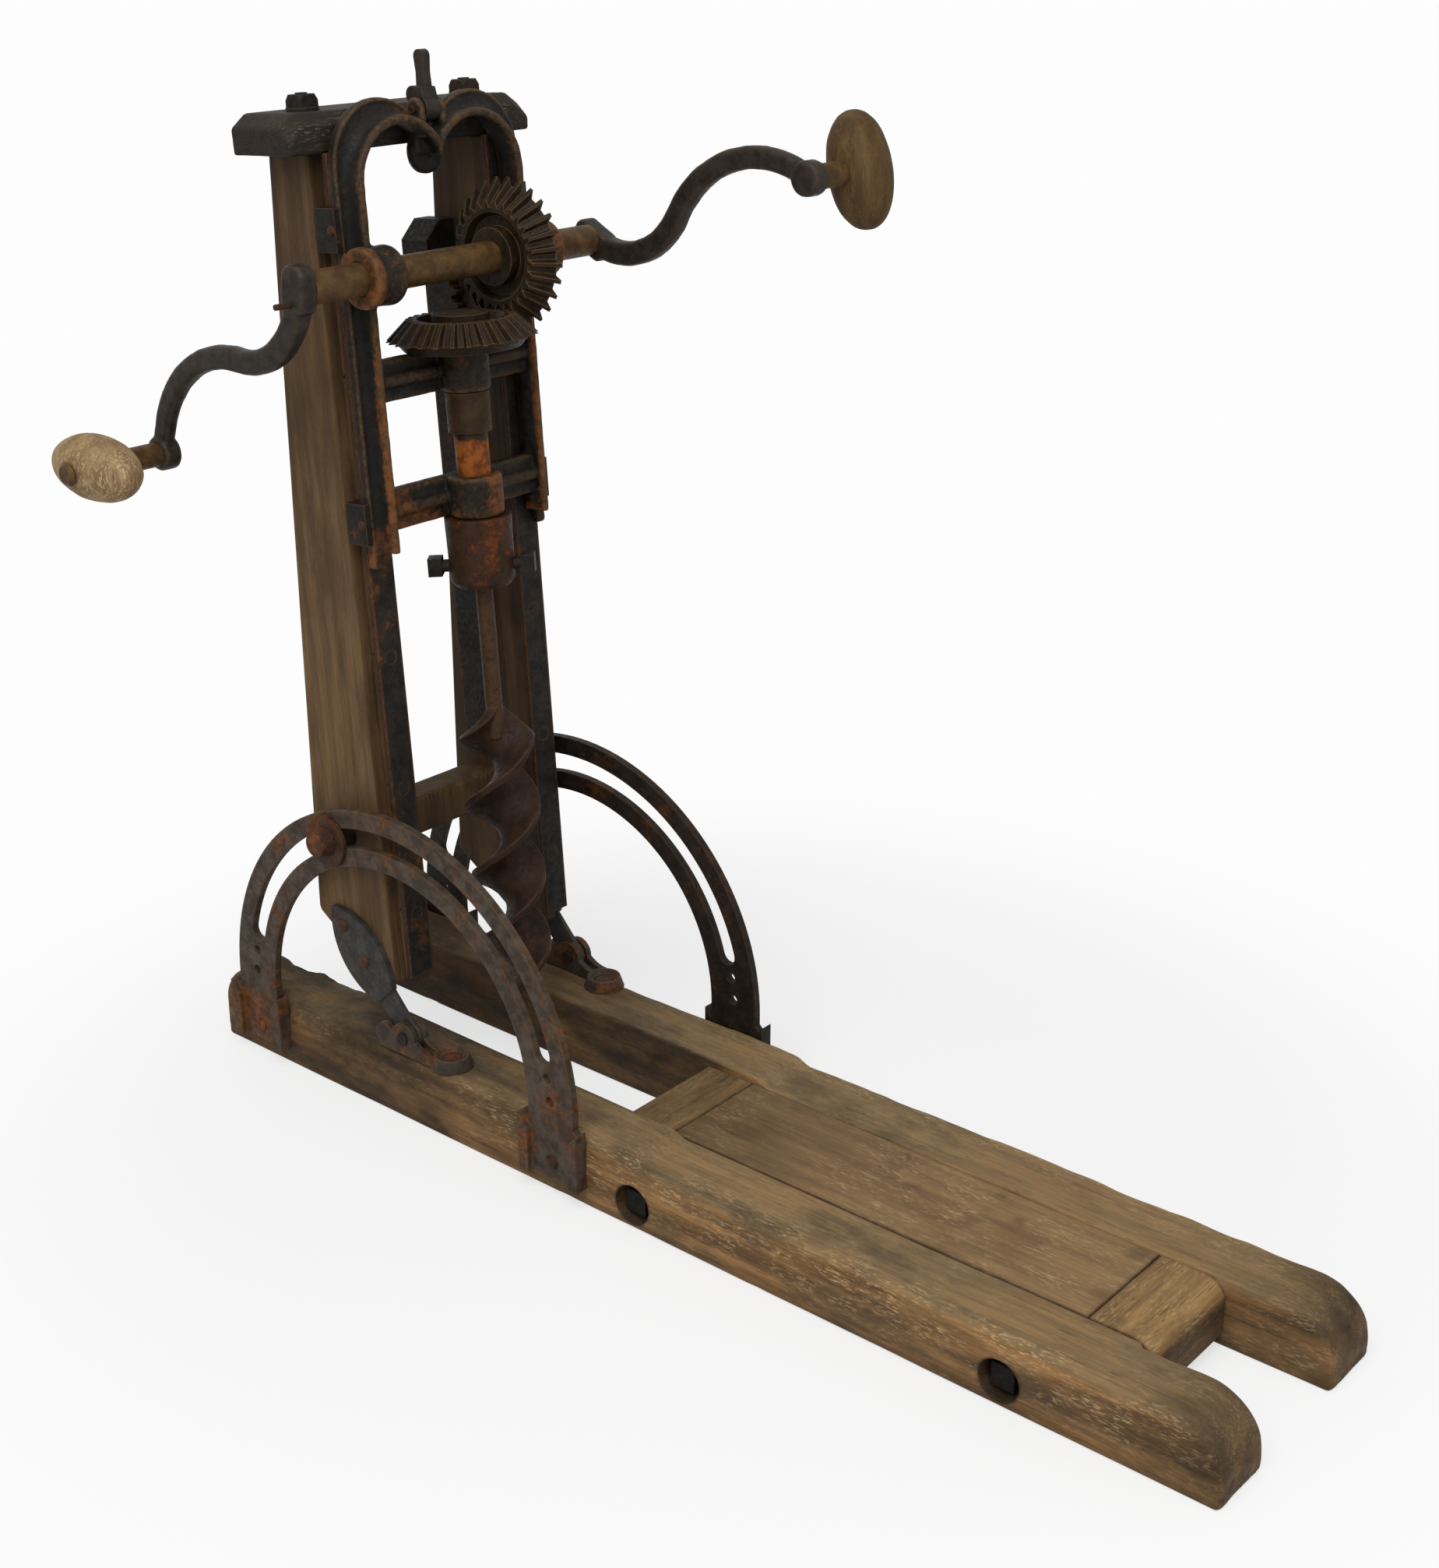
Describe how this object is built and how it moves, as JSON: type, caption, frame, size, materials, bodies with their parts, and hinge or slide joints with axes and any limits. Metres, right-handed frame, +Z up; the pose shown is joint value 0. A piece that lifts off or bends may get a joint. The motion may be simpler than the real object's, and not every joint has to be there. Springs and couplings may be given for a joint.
{
  "type": "beam boring machine",
  "caption": "Hand-cranked beam boring machine: a wooden rail base with slotted iron quadrants, a tilting upright and a sliding bevel-geared carriage that turns an auger.",
  "frame": {"origin": "middle of the rails' underside, on the floor", "axes": "+X along the crank shaft, -Y towards the seat end, +Z up"},
  "size_m": [0.442, 0.892, 0.7613],
  "materials": {
    "rail_oak": "weathered, worn",
    "upright_oak": "weathered",
    "cap_oak": "dark, weathered",
    "grip_wood": "hand-worn",
    "painted_iron": "old dark paint, rubbed at the edges",
    "grey_iron": "grey with rust",
    "gear_iron": "brown, rubbed at the teeth",
    "rusty_iron": "rusty",
    "dark_iron": "dull, dark"
  },
  "bodies": {
    "base": {"left_rail": "rail_oak", "right_rail": "rail_oak", "opening_crosspiece": "rail_oak", "seat_board": "rail_oak", "tail_crosspiece": "rail_oak", "tie_bolts": "dark_iron", "tie_washers": "dark_iron", "tie_nuts": "dark_iron", "left_quadrant": "grey_iron", "right_quadrant": "grey_iron", "quadrant_screws": "rusty_iron", "left_hinge_bracket": "grey_iron", "right_hinge_bracket": "grey_iron", "bracket_screws": "rusty_iron", "hinge_pins": "dark_iron"},
    "upright": {"left_post": "upright_oak", "right_post": "upright_oak", "left_guide_strip": "painted_iron", "right_guide_strip": "painted_iron", "guide_strip_screws": "dark_iron", "cap_bar": "cap_oak", "cap_bolts": "dark_iron", "cap_washers": "dark_iron", "cap_nuts": "dark_iron", "stretcher": "upright_oak", "left_strap": "grey_iron", "right_strap": "grey_iron", "strap_screws": "rusty_iron", "lock_rod": "rusty_iron", "lock_spacers": "dark_iron", "lock_washers": "rusty_iron", "lock_nut": "rusty_iron", "lift_rack": "painted_iron", "rack_screws": "dark_iron", "rack_stop": "painted_iron"},
    "carriage": {"carriage_frame": "painted_iron", "guide_clips": "painted_iron", "clip_screws": "rusty_iron", "latch_pin": "dark_iron", "pinion_axle": "dark_iron"},
    "crank": {"crank_shaft": "dark_iron", "crank_gear": "gear_iron", "left_crank_arm": "grey_iron", "right_crank_arm": "grey_iron", "drive_pins": "rusty_iron", "grip_pins": "dark_iron"},
    "left_handle": {"left_grip": "grip_wood"},
    "right_handle": {"right_grip": "grip_wood"},
    "drill": {"spindle": "rusty_iron", "spindle_gear": "gear_iron", "chuck": "rusty_iron", "chuck_screws": "dark_iron", "auger_bit": "gear_iron"},
    "top_latch": {"latch": "dark_iron"},
    "pinion": {"lift_pinion": "gear_iron"}
  },
  "joints": [
    {"name": "upright_tilt", "type": "hinge", "parent": "base", "child": "upright", "pos_m": [0, 0.236, 0.068], "axis": [-1, 0, 0], "range_deg": [-45, 36]},
    {"name": "carriage_slide", "type": "slide", "parent": "upright", "child": "carriage", "axis": [0, -0.0628, -0.998], "range_m": [0, 0.28]},
    {"name": "crank_turn", "type": "hinge", "parent": "carriage", "child": "crank", "pos_m": [0, 0.2439, 0.6236], "axis": [1, 0, 0], "continuous": true},
    {"name": "drill_turn", "type": "hinge", "parent": "carriage", "child": "drill", "pos_m": [0, 0.23618, 0.50084], "axis": [0, 0.0628, 0.998], "continuous": true},
    {"name": "left_handle_spin", "type": "hinge", "parent": "crank", "child": "left_handle", "pos_m": [-0.194, 0.40186, 0.49293], "axis": [1, 0, 0], "continuous": true},
    {"name": "right_handle_spin", "type": "hinge", "parent": "crank", "child": "right_handle", "pos_m": [0.194, 0.04745, 0.68217], "axis": [1, 0, 0], "continuous": true},
    {"name": "latch_swing", "type": "hinge", "parent": "carriage", "child": "top_latch", "pos_m": [0, 0.26631, 0.72339], "axis": [-1, 0, 0], "range_deg": [-15, 25]},
    {"name": "pinion_turn", "type": "hinge", "parent": "carriage", "child": "pinion", "pos_m": [0.056, 0.28829, 0.54876], "axis": [1, 0, 0], "range_deg": [0, 1338]}
  ],
  "couplings": [
    {"joint": "drill_turn", "follows": "crank_turn", "ratio": 1},
    {"joint": "pinion_turn", "follows": "carriage_slide", "rad_per_m": 83.333}
  ]
}
